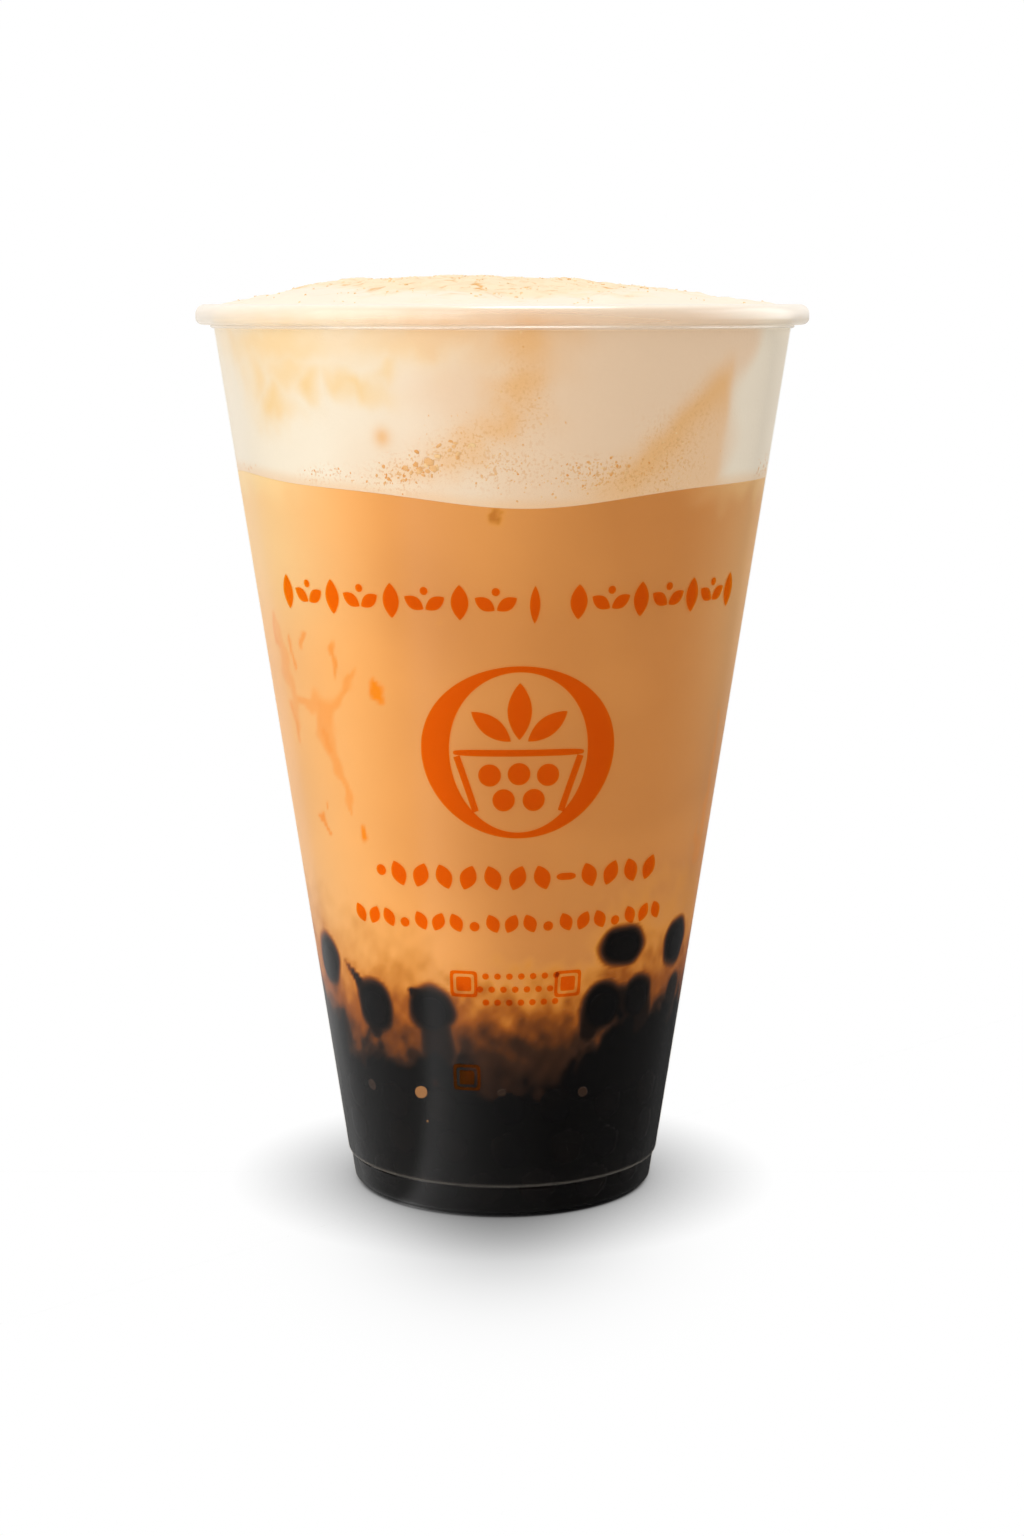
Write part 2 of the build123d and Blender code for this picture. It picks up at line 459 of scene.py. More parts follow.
def cup_fields(points):
    """How milky the plastic is, most at the rim and the bead, and where round edges catch the light.

    The milky bands on the bead and at the shoulder step are painted highlight lines.
    """
    height = points[:, 2]
    bead = RIM_BOTTOM - BEAD_HEIGHT
    haze_and_highlight = 0.002 + 0.5 * smooth(bead - 0.05, bead + 0.1, height) + 0.48 * smooth(RIM_BOTTOM, RIM_TOP, height)
    # Painted highlight lines: a milky band high on the bead and a fainter one just above the shoulder step
    haze_and_highlight += 0.5 * bell(height, bead + 0.3, 0.2) + 0.14 * bell(height, SHOULDER_HEIGHT + 0.3, 0.2)
    glint = 0.55 * bell(height, bead + 0.38, 0.13) + 0.14 * smooth(RIM_TOP - 0.8, RIM_TOP - 0.2, height)
    return {"haze_and_highlight": haze_and_highlight, "glint": glint}


def make_cup():
    """The cup turned about its axis: raised underside, foot, stepped shoulder, wall, bead, rim and inside."""
    foot = wall_radius(0)
    neck = wall_radius(RIM_BOTTOM)
    bead = RIM_BOTTOM - BEAD_HEIGHT
    bead_round = BEAD_HEIGHT / 2
    hub = 0.6  # radius at which the underside and the floor close on their centre points
    floor_edge = wall_radius(FLOOR_HEIGHT) - WALL
    mouth = wall_radius(RIM_TOP) - WALL
    tall = np.linspace(5.9, bead - 0.15, 38)
    heights = np.concatenate([np.linspace(1, 4.9, 6), np.linspace(4.95, 5.65, 15), tall])
    outer = np.stack([wall_radius(heights), heights], -1)
    inner_heights = np.concatenate([np.linspace(bead - 1, 5.6, 14), np.linspace(5.4, 5.0, 5), [4.7, 3.6]])
    inner = np.stack([wall_radius(inner_heights) - WALL, inner_heights], -1)
    profile = np.vstack([
        line((hub, PUNT_DEPTH), (foot - 4.4, PUNT_DEPTH), 8),
        line((foot - 4.2, PUNT_DEPTH - 0.08), (foot - 2.75, 0.08), 6),
        line((foot - 2.55, 0), (foot - 1.1, 0), 6),
        corner((foot - FOOT_ROUND, FOOT_ROUND), FOOT_ROUND, -88, -8, 10),
        outer,
        corner((neck - 0.03 + BEAD_DEPTH / 2, bead + bead_round), bead_round, -80, 60, 9),
        line((neck + 0.28, RIM_BOTTOM), (RIM_RADIUS - 1.1, RIM_BOTTOM - 0.02), 6),
        corner((RIM_RADIUS - RIM_BOTTOM_ROUND, RIM_BOTTOM + RIM_BOTTOM_ROUND), RIM_BOTTOM_ROUND, -85, 0, 10),
        corner((RIM_RADIUS - RIM_TOP_ROUND, RIM_TOP - RIM_TOP_ROUND), RIM_TOP_ROUND, 0, 88, 14),
        line((RIM_RADIUS - 1.7, RIM_TOP), (mouth + 0.3, RIM_TOP), 6),
        corner((mouth + LIP_ROUND, RIM_TOP - LIP_ROUND), LIP_ROUND, 95, 175, 7),
        line((mouth - 0.01, RIM_TOP - 0.4), (wall_radius(bead) - WALL, bead), 8),
        inner,
        corner((floor_edge - FLOOR_ROUND, FLOOR_HEIGHT + FLOOR_ROUND), FLOOR_ROUND, 0, -88, 10),
        line((floor_edge - 1.3, FLOOR_HEIGHT), (hub, FLOOR_HEIGHT), 8),
    ])
    azimuth = np.arange(0, 360, 0.75)[None, :]
    rings = turned(azimuth, profile[:, :1], profile[:, 1:])
    add_turned("cup_wall", rings, cup_fields, PLASTIC, ("cup",))


# Foam


def dome_share(points):
    """Share of the way from the dome's peak to the cup's wall, along the line through each point."""
    edge = skin_radius(FOAM_EDGE)
    dx, dy = points[..., 0] - DOME_PEAK[0], points[..., 1] - DOME_PEAK[1]
    run = np.hypot(dx, dy) + 1e-9
    along = (DOME_PEAK[0] * dx + DOME_PEAK[1] * dy) / run
    room = edge**2 - DOME_PEAK[0] ** 2 - DOME_PEAK[1] ** 2
    return run / (np.sqrt(along**2 + room) - along)


def foam_underside(points):
    """Height where foam meets tea, over or under points: level, with a round dip where foam hangs lower."""
    x, y = points[..., 0], points[..., 1]
    level = np.full(np.shape(x), FOAM_LEVEL)
    for azimuth, depth, width in FOAM_DIPS:
        dip = turned(azimuth, skin_radius(FOAM_LEVEL), 0.0)
        level -= depth * np.exp(-((x - dip[0]) ** 2 + (y - dip[1]) ** 2) / width**2)
    return level


def foam_boundary(azimuth):
    """Height where foam meets tea at the wall."""
    return foam_underside(turned(azimuth, skin_radius(FOAM_LEVEL), 0.0))


def dome_height(points, crust):
    """Foam's top: a paraboloid from its peak to the edge, with soft swells and a raised, cracked crust.

    It lies a little lower right of its middle, and everything but the paraboloid fades out at the wall.
    """
    share = dome_share(points)
    flat = points * (1, 1, 0)
    swell = 0.22 * waves(flat, 22, 11) + 0.1 * waves(flat, 7, 12)
    lift = crust * (0.26 - 0.16 * crust_cracks(flat) + 0.05 * waves(flat, 1.6, 15))
    edge = 1 - smooth(0.93, 1.0, share)
    right = 0.4 * smooth(-4, 4, points[..., 0]) * (1 - share**4)
    return FOAM_EDGE + (DOME_RISE - 0.1) * (1 - share**2) + (swell + lift) * edge - right * edge


def tan_wedge(azimuth, height):
    """Cloud like a sail: a straight right edge, and a slope that rises to its tip from the lower left."""
    right = 1 - smooth(49.0, 53.0, azimuth)
    rise = (113.6, 115.9, 119.6, 124.6, 129.4, 131.8, 133.0)
    slope = np.interp(azimuth, (5, 16, 27, 35, 42, 47, 53), rise)
    under = 1 - smooth(-4.2, 2.4, height - slope)
    deep = bell(height, slope - 3.4, 4.2)
    return right * under * (0.45 + 0.55 * deep) * smooth(8, 30, azimuth)


def foam_clouds(azimuth, height, points):
    """Butter and tan fields of the foam's side: named clouds in front, the same kind from noise behind.

    A cloud is a place of (azimuth, height), a half size along the wall and up it, a lean and a strength.
    """
    warp_a = azimuth + 1.1 * waves(points, 8, 21)
    warp_h = height + 0.45 * waves(points, 6, 22) + 0.25 * waves(points, 2.5, 28)
    butter_clouds = (
        ((-50, 134.5), (17, 4.0), 0, 0.75),
        ((-46, 130.5), (7.0, 3.6), 0, 0.7),
        ((-39.3, 128.6), (3.2, 2.6), 20, 0.85),
        ((-29.5, 128.6), (5.0, 2.0), -20, 0.8),
        ((-23, 130.8), (3.4, 1.9), 35, 0.6),
        ((-51.5, 125.8), (5.0, 3.4), 25, 0.85),
        ((-57, 130), (4.0, 4.8), 0, 0.7),
        ((-66, 134.5), (4, 4), 0, 0.6),
        ((-20, 134.5), (11, 3.4), 0, 0.5),
    )
    tan_clouds = (
        ((4, 134.8), (6.4, 5.0), 0, 0.85),
        ((3.5, 129), (4.8, 4.6), 12, 0.85),
        ((0, 124.0), (4.4, 3.6), 20, 0.75),
        ((-7, 120.0), (6.4, 2.8), 35, 0.62),
        ((-17, 116.6), (6.0, 2.0), 15, 0.5),
        ((-10, 136), (11, 3.0), 0, 0.5),
    )
    butter = blots(warp_a, warp_h, butter_clouds)
    tan = blots(warp_a, warp_h, tan_clouds)
    tan = blots(azimuth, height, [((-24, 121.2), (1.3, 1.4), 0, 0.85)], tan)
    wedge = tan_wedge(azimuth + 0.3 * (warp_a - azimuth), height + 0.3 * (warp_h - height))
    tan = np.maximum(tan, 0.9 * wedge)
    tan *= 1 - 0.85 * smooth(50.0, 52.5, azimuth) * (1 - smooth(90, 100, azimuth))
    behind = smooth(76, 100, np.abs(azimuth))
    cloud = waves(points * (1, 1, 1.5), 26, 23) + 0.5 * waves(points, 9, 24)
    butter = np.maximum(butter, behind * 0.65 * smooth(-0.2, 2.0, cloud) * smooth(116, 126, height))
    tan = np.maximum(tan, behind * 0.5 * smooth(0.0, 2.2, -cloud))
    tan = np.maximum(tan, 0.42 * (1 - smooth(0, 2.2, height - foam_underside(points))))
    return butter, tan


def grain_field(points):
    """How densely fine sugar lies in the foam at the wall: drifts above the tea, in front and behind."""
    azimuth, height = azimuth_of(points), points[:, 2]
    drifts = (
        ((-38, 115.6), (5.0, 1.3), 5, 0.6),
        ((-19, 116.3), (6.5, 2.4), 18, 0.9),
        ((-8, 119.6), (7.5, 2.8), 24, 0.8),
        ((0, 117), (6.0, 3.0), 0, 0.7),
        ((4, 126), (3.5, 7.0), 8, 0.5),
        ((23, 115.6), (11.0, 2.2), -8, 0.95),
        ((37, 119.5), (6.0, 3.4), -30, 0.75),
        ((42, 124), (4.5, 4.5), -30, 0.5),
    )
    behind = smooth(70, 90, np.abs(azimuth)) * smooth(-0.2, 1.2, waves(points * (1, 1, 0), 22, 27))
    above_tea = height - foam_underside(points)
    return blots(azimuth, height, drifts, behind * (1 - smooth(0.5, 6.0, above_tea)))


def beige_field(points):
    """Where tea has tinted the foam evenly: the front right, and soft clouds round the back."""
    azimuth = azimuth_of(points) + 4 * waves(points, 14, 25)
    front = smooth(-45, 12, azimuth) * (1 - 0.9 * smooth(46, 60, azimuth))
    return np.clip(front + 0.3 * waves(points, 30, 26) * smooth(80, 110, np.abs(azimuth)), 0, 1)


def crust_field(points):
    """1 where the dome carries its golden crust: an uneven round area off its centre, ragged at the edge."""
    flat = points * (1, 1, 0)
    share = dome_share(points)
    ragged = 0.06 * waves(flat, 24, 17) + 0.04 * waves(flat, 6, 18) + 0.02 * waves(flat, 2.2, 19)
    x, y = points[..., 0], points[..., 1]
    reach = share + 0.1 * smooth(10, 30, np.abs(x)) - 0.12 * smooth(5, 35, -y) + 0.12 * smooth(5, 35, y)
    return 1 - smooth(0.58, 0.82, reach + ragged)


def crust_cracks(flat):
    """1 on thin cracks between the crust's plates, where a random field is near 0, broken up by others."""
    crack = 1 - smooth(0.06, 0.36, np.abs(waves(flat * (0.8, 1, 1), 6.0, 13)))
    fade = 0.4 + 0.6 * smooth(-0.9, 0.9, waves(flat, 13, 20))
    return crack * smooth(-0.7, 0.3, waves(flat, 4.0, 14)) * fade


def foam_fields(points, on_top):
    """The foam's colour fields. on_top is 1 for points of the dome and 0 for the side and underside."""
    flat = points * (1, 1, 0)
    butter, tan = foam_clouds(azimuth_of(points), points[:, 2], points)
    crust = on_top * crust_field(points)
    toast = crust * (0.95 * crust_cracks(flat) + 0.1 * smooth(0.2, 1.4, waves(flat, 5, 16)))
    return {
        "beige": (1 - on_top) * beige_field(points),
        "butter": butter * (1 - on_top),
        "grain": (1 - on_top) * grain_field(points),
        "tan": tan * (1 - on_top),
        "crust": crust,
        "toast": np.clip(toast, 0, 1),
    }


def make_foam():
    """The foam as one closed body: underside, side against the wall and the crusted dome."""
    azimuth = np.arange(0, 360, 0.75)[None, :]
    boundary = foam_boundary(azimuth)
    under_share = np.append(np.linspace(0.02, 0.99, 9), 0.999)[:, None]
    under = turned(azimuth, skin_radius(boundary) * under_share, boundary + 1.5 * (1 - under_share))
    climb = np.insert(np.linspace(0, 1, 58), 1, 0.003)[:, None]
    side_height = boundary + (FOAM_EDGE - 0.15 - boundary) * climb
    side = turned(azimuth, skin_radius(side_height), side_height)
    shares = 1 - np.linspace(0.006, 0.999, 112)[:, None] ** 1.08
    top = turned(azimuth, skin_radius(FOAM_EDGE) * shares, 0.0)
    top[..., 2] = dome_height(top, crust_field(top))
    rings = np.vstack([under, side, top])
    on_top = np.zeros(azimuth.size * len(rings) + 2)
    on_top[azimuth.size * (len(under) + len(side)) :] = 1
    on_top[-2] = 0  # the centre of the underside
    add_turned("foam_crown", rings, lambda points: foam_fields(points, on_top), FOAM, ("foam",))


# Tea, syrup and pearls


def pearl_reach(azimuth, height):
    """Distance in millimetres from the nearest loose pearl's outline on the wall, negative inside it.

    An outline is the ellipse hypot(u / across, v / up) = 1, turned by its lean.
    """
    nearest = np.full(np.shape(azimuth), 99.0)
    for place_azimuth, place_height, across, up, lean in LOOSE_PEARLS:
        s = np.radians(wrap(azimuth - place_azimuth)) * wall_radius(place_height)
        t = height - place_height
        angle = np.radians(lean)
        u = (s * np.cos(angle) + t * np.sin(angle)) / across
        v = (t * np.cos(angle) - s * np.sin(angle)) / up
        nearest = np.minimum(nearest, (np.hypot(u, v) - 1) * (across + up) / 2)
    return nearest


def syrup_field(azimuth, height, points):
    """How much syrup stains the drink at the wall: 0 is plain milk tea and 1 is black.

    Black below an uneven level, a soft halo round every loose pearl, tails that run down from the pearls,
    a wide brown drift in front, in a window that widens as it rises, and one small spot under the foam.
    """
    grain = 0.8 * waves(points, 6, 33) + 0.7 * waves(points, 3.2, 34, 60) + 0.3 * waves(points, 1.6, 37, 60)
    far_side = smooth(95, 120, np.abs(azimuth))
    shift = 5.0 * smooth(24, 40, azimuth) * (1 - far_side) + 3.0 * smooth(54, 68, -azimuth) + 1.6 * far_side
    level = height - shift + grain + 0.7 * waves(points, 9, 31)
    stain_heights = (24.6, 26.4, 28, 30, 32, 34, 36, 38, 40, 43, 46, 50)
    stain = np.interp(level, stain_heights, (1, 0.84, 0.62, 0.5, 0.4, 0.32, 0.24, 0.17, 0.12, 0.09, 0.05, 0))
    left = np.interp(height, (21, 26, 31, 36), (-9, -9, -17, -19))
    right = np.interp(height, (21, 26, 31, 36), (15, 21, 29, 26))
    side = azimuth + 1.6 * waves(points, 5, 36)
    window = smooth(-3.0, 3.0, side - left) * (1 - smooth(-3.0, 3.0, side - right))
    drift_heights = (19.6, 21, 23, 26, 28, 30, 32, 34, 36, 38, 40, 43)
    drift_levels = (1, 0.92, 0.87, 0.8, 0.74, 0.64, 0.5, 0.38, 0.26, 0.15, 0.07, 0)
    drift = np.interp(height + grain, drift_heights, drift_levels)
    halo = 1 - smooth(-0.8, 1.5, pearl_reach(azimuth, height) + 0.13 * waves(points, 5, 35))
    plain = stain * (1 - window) + drift * window
    longest = stroke(azimuth, height, ((-54.6, 39.6), (-49, 37.2), (-45.5, 35.0)), (0.3, 0.8, 1.8))
    tails = longest * smooth(-58, -48, azimuth)
    for route, widths in (
        (((-21, 33), (-20.5, 30), (-20, 27)), (2.8, 2.9, 3.4)),
        (((-43, 32), (-43, 29.6)), (2.8, 1.8)),
        (((29, 33), (27, 30)), (3.0, 1.8)),
        (((33, 34.5), (46, 33.5), (48, 29)), (3.2, 3.2, 3.6)),
        (((-27.5, 36.8), (-23, 36.2)), (0.7, 1.4)),
        (((66, 34), (64, 30)), (2.6, 3.2)),
    ):
        tails = np.maximum(tails, stroke(azimuth, height, route, widths))
    spot = blot(azimuth, height, (-1.3, 110.0), (1.35, 1.5)) + 0.1 * waves(points, 1.5, 38)
    spot = 0.24 * smooth(0.25, 0.8, spot)
    return np.clip(np.maximum.reduce([plain, halo, 0.96 * tails, spot]), 0, 1)


def caramel_field(azimuth, height, points):
    """Streaks of syrup that ran down the inside: strokes in front and at the sides, seeded ones behind.

    Each is a route of (azimuth, height), its half widths and its strength.
    """
    warp_a = azimuth + 0.8 * waves(points, 5, 41)
    warp_h = height + 0.5 * waves(points, 5, 42)
    field = np.zeros_like(azimuth)
    for route, widths, strength in (
        (((-59, 81), (-54, 80), (-50, 80.5), (-47, 80)), (0.5, 1.0, 1.8, 1.9), 0.42),
        (((-35.5, 86.6), (-38, 84.5), (-42, 82.0), (-46.5, 80.5)), (0.35, 0.8, 0.7, 1.5), 0.45),
        (((-47.3, 80), (-48.5, 75.5), (-46.5, 71.5), (-43.8, 69), (-42.4, 64)), (2, 1.8, 1.2, 1, 0.2), 0.46),
        (((-48.6, 75.6), (-47.6, 74)), (0.9, 0.7), 0.6),
        (((-66.5, 93), (-64, 87), (-61, 81), (-61.5, 74)), (0.9, 1.7, 1.3, 0.5), 0.32),
        (((-67.5, 94), (-66.5, 89)), (0.35, 0.6), 0.5),
        (((-63.8, 79.5), (-61.2, 73.5)), (0.9, 0.4), 0.5),
        (((-58.3, 89.5), (-58, 85)), (0.5, 0.4), 0.6),
        (((-53.7, 90.4), (-53.5, 89)), (0.5, 0.3), 0.6),
        (((-42.8, 88.7), (-42.3, 86.7)), (0.95, 0.5), 0.65),
        (((-31.2, 84.4), (-29.8, 83.2), (-27.6, 81.0)), (1.1, 0.8, 0.25), 1.0),
        (((-55.6, 62.8), (-52.6, 60.0)), (0.5, 0.35), 0.75),
        (((-38.8, 62.9), (-38.4, 60.1)), (0.35, 1.0), 1.0),
        (((-52.3, 65.6), (-52.1, 64.2)), (0.35, 0.25), 0.6),
        (((69, 78), (70, 71), (70.5, 64), (70.5, 55)), (0.5, 1.1, 0.7, 0.9), 0.24),
        (((66, 60), (68, 55)), (0.4, 0.9), 0.24),
    ):
        field = np.maximum(field, strength * stroke(warp_a, warp_h, route, widths))
    rng = np.random.default_rng(43)
    for _ in range(14):
        a, h = rng.uniform(95, 265), rng.uniform(55, 98)
        route = ((a, h), (a + rng.uniform(-4, 4), h - 5), (a + rng.uniform(-6, 6), h - rng.uniform(9, 18)))
        field = np.maximum(field, rng.uniform(0.2, 0.36) * stroke(warp_a, warp_h, route, (0.5, 1.5, 0.3)))
    return field


def drink_fields(points):
    """All the colour fields of the drink's side. The middle of the body's ends stays plain."""
    azimuth, height = azimuth_of(points), points[:, 2]
    radial = np.hypot(points[:, 0], points[:, 1])
    boundary = foam_underside(points)
    behind = smooth(85, 120, np.abs(azimuth))
    # Darker, browner tea from the front's left to its right, and about half as much behind: partly its own
    # tone, partly painted shade on the side away from the key light.
    warm = smooth(-50, 20, azimuth) * (1 - behind) + 0.45 * behind
    # Painted sheen: paler tea on the left, more higher up, and a little at the right edge, where light washes
    # over the plastic; beside the foam at the sides the paleness is also foam mixed into the tea.
    left = 0.75 * smooth(22, 62, -azimuth) * (0.4 + 0.6 * smooth(84, 104, height))
    right = 0.36 * smooth(38, 78, azimuth) * smooth(48, 100, height)
    near_foam = 1 - smooth(0, 4.5, boundary - height + 0.8 * waves(points, 7, 51))
    sheen_and_foam_mix = (left + right) * (1 - 0.6 * behind) + 0.25 * near_foam * smooth(35, 60, np.abs(azimuth))
    return {
        "syrup": syrup_field(azimuth, height, points) * (radial > 1),
        "caramel": caramel_field(azimuth, height, points),
        "sheen_and_foam_mix": np.clip(sheen_and_foam_mix, 0, 1),
        "deep": np.clip(warm + 0.12 * waves(points, 30, 52), 0, 1),
    }


def make_tea():
    """Milk tea from the syrup to the foam, its side just inside the cup's outer surface."""
    azimuth = np.arange(0, 360, 0.8)[None, :]
    boundary = foam_boundary(azimuth)
    share = np.concatenate([[0, 0.002], np.linspace(0.006, 0.994, 161), [0.998, 1]])[:, None]
    heights = SYRUP_TOP + (boundary - SYRUP_TOP) * share
    side = turned(azimuth, skin_radius(heights), heights)
    inward = np.linspace(0.1, 0.97, 4)[:, None]
    low = turned(azimuth, skin_radius(SYRUP_TOP) * inward, SYRUP_TOP)
    high = turned(azimuth, (skin_radius(boundary) - 0.4) * inward[::-1], boundary + 0.3)
    add_turned("milk_tea", np.vstack([low, side, high]), drink_fields, TEA, ("tea",))


def make_syrup():
    """Black syrup round the pearls, down into the foot, with close rings at the shoulder and its ends."""
    azimuth = np.arange(0, 360, 1.0)[None, :]
    shoulder = np.linspace(4.97, 5.43, 9)
    ends = [SYRUP_TOP - 0.05, SYRUP_TOP]
    heights = np.concatenate([np.linspace(SYRUP_BOTTOM, 4.9, 14), shoulder, np.linspace(5.7, 18.8, 29), ends])
    side = turned(azimuth, skin_radius(heights[:, None]), heights[:, None])
    inward = np.linspace(0.1, 0.98, 5)[:, None]
    low = turned(azimuth, skin_radius(SYRUP_BOTTOM) * inward, SYRUP_BOTTOM + 1.2 * (1 - inward))
    high = turned(azimuth, skin_radius(SYRUP_TOP) * inward[::-1], SYRUP_TOP)
    add_turned("syrup_core", np.vstack([low, side, high]), drink_fields, TEA)


def pressed_pearl(azimuth, height, across, up, lean, rings, count, proud):
    """Ball pressed on the wall: an ellipsoid held inside the wall's cone, so it is flat where it touches.

    Its centre lies so deep that the flat spans most of the ball. proud is how far the flat stands out of the
    drink.
    """
    polar = np.linspace(0.06, np.pi - 0.06, rings)[:, None]
    around = np.linspace(0, 2 * np.pi, count, endpoint=False)[None, :]
    s = across * np.sin(polar) * np.cos(around)
    depth = PEARL_RADIUS * np.sin(polar) * np.sin(around)
    t = -up * np.cos(polar)
    angle = np.radians(lean)
    s, t = s * np.cos(angle) - t * np.sin(angle), t * np.cos(angle) + s * np.sin(angle)
    turn = azimuth + np.degrees(s / skin_radius(height))
    level = height + t
    limit = skin_radius(level) + proud
    radius = np.minimum(limit, skin_radius(height) - 0.55 * PEARL_RADIUS - depth)
    return ring_points(turned(turn, radius, level)), ring_faces(rings, count)


def make_pearls():
    """The loose pearls one by one, and the heap's outer pearls as one piece over the syrup."""
    outline = 0.8  # of a pearl's size, as its halo of syrup covers the rest
    for number, (azimuth, height, across, up, lean) in enumerate(LOOSE_PEARLS, 1):
        points, faces = pressed_pearl(azimuth, height, across * outline, up * outline, lean, 26, 44, 0.05)
        name = f"loose_pearl_{number}"
        add_mesh(name, points, faces, {}, PEARL, (f"pearl_{number}",))
    rng = np.random.default_rng(61)
    shapes = []
    for level in (5.6, 12.0, 18.4):
        count = int(2 * np.pi * (skin_radius(level) - PEARL_RADIUS) / (2 * PEARL_RADIUS))
        shift = rng.uniform(0, 360)
        for i in range(count):
            place = shift + 360 * (i + rng.uniform(-0.12, 0.12)) / count
            size = rng.uniform(3.3, 3.7)
            height = max(size + 1.2, level + rng.uniform(-0.5, 0.5))
            shapes.append(pressed_pearl(place, height, size, size, 0, 14, 26, 0.015))
    points, faces = join(shapes)
    add_mesh("heap_pearls", points, faces, {}, PEARL, ("pearl_heap",))


# Crumbs and specks


def lumps(places, sizes, normals, flatness, seed, rings=5, count=8, slim=0.45, rough=0.28):
    """Small uneven lumps, each an ellipsoid of few faces with its own bumps, flattened along its normal.

    A lump's point is centre + size (u cos a sin p + v sin a sin p - flatness n cos p) (1 + bumps), with bumps
    up to rough either way, and v shortened to as little as slim. rings and count are its rows and columns of
    points. Gives the lumps as one shape, and how many points each has.
    """
    rng = np.random.default_rng(seed)
    total = len(places)
    normals = normals / np.linalg.norm(normals, axis=1, keepdims=True)
    helper = np.where(np.abs(normals[:, 2:]) < 0.9, (0.0, 0.0, 1.0), (1.0, 0.0, 0.0))
    first = np.cross(helper, normals)
    first /= np.linalg.norm(first, axis=1, keepdims=True)
    second = np.cross(normals, first)
    spin = rng.uniform(0, 2 * np.pi, (total, 1))
    u = first * np.cos(spin) + second * np.sin(spin)
    v = second * np.cos(spin) - first * np.sin(spin)
    v = v * rng.uniform(slim, 1.0, (total, 1))
    polar = np.linspace(0.25, np.pi - 0.25, rings)
    around = np.linspace(0, 2 * np.pi, count, endpoint=False)
    p, a = np.meshgrid(polar, around, indexing="ij")
    bumps = 1 + rng.uniform(-rough, rough, (total, rings, count, 1))
    body = (
        u[:, None, None] * (np.cos(a) * np.sin(p))[None, ..., None]
        + v[:, None, None] * (np.sin(a) * np.sin(p))[None, ..., None]
        - flatness * normals[:, None, None] * np.cos(p)[None, ..., None]
    )
    points = places[:, None, None] + sizes[:, None, None, None] * body * bumps
    return join([(ring_points(lump), ring_faces(rings, count)) for lump in points]), rings * count + 2


def make_crumbs():
    """Golden crumbs on the dome: thick in the crust and along its ragged front edge, few beyond it."""
    rng = np.random.default_rng(71)
    tries = 5200
    azimuth, share = rng.uniform(0, 360, tries), np.sqrt(rng.uniform(0, 1, tries)) * 0.97
    places = turned(azimuth, skin_radius(FOAM_EDGE) * share, 0.0)
    crust = crust_field(places)
    edge = bell(crust, 0.5, 0.35)
    clumps = smooth(-0.3, 1.2, waves(places, 8, 72))
    chance = 0.006 + clumps * (0.26 * crust + 0.5 * edge)
    keep = rng.uniform(0, 1, tries) < chance
    places, crust = places[keep], crust[keep]
    places[:, 2] = dome_height(places, crust) + 0.03
    sizes = rng.uniform(0.09, 0.26, len(places)) * (1 + (rng.uniform(0, 1, len(places)) > 0.96))
    normals = np.stack([places[:, 0] * 0.1, places[:, 1] * 0.1, np.full(len(places), 20.0)], -1)
    normals += rng.normal(0, 4.5, normals.shape)
    (points, faces), each = lumps(places, sizes, normals, 0.45, 73)
    shade = np.repeat(0.6 * rng.uniform(0.0, 1.0, len(places)) ** 1.6, each)
    add_mesh("dome_crumbs", points, faces, {"shade": shade}, CRUMB)


def make_amber():
    """Lumps of half-melted brown sugar, pressed flat on the wall: amber dots in the black syrup.

    The last named lump, small and bright, is a painted highlight where a glint shows.
    """
    rng = np.random.default_rng(91)
    named = (  # azimuth, height, size, shade
        (-27.3, 20.3, 1.15, 0.65),
        (-0.1, 21.1, 0.7, 0.03),
        (27, 20.4, 0.9, 0.035),
        (-48.4, 19.8, 0.9, 0.03),
        # a tiny bright lump where a glint shows: a painted highlight
        (-25.8, 15.6, 0.22, 0.9),
    )
    spans = ((75, 285), (12, 23), (0.4, 1.0), (0.03, 0.4))
    free = np.stack([rng.uniform(low, high, 12) for low, high in spans], -1)
    azimuth, height, size, shade = np.vstack([named, free]).T
    places = turned(azimuth, skin_radius(height) - 0.05, height)
    outwards = turned(azimuth, 1.0, -TAPER)
    (points, faces), each = lumps(places, size, outwards, 0.3, 92, 11, 24, 0.85, 0.05)
    fields = {"shade": np.repeat(shade, each)}
    add_mesh("amber_sugar", held(points, 0.03), faces, fields, AMBER)


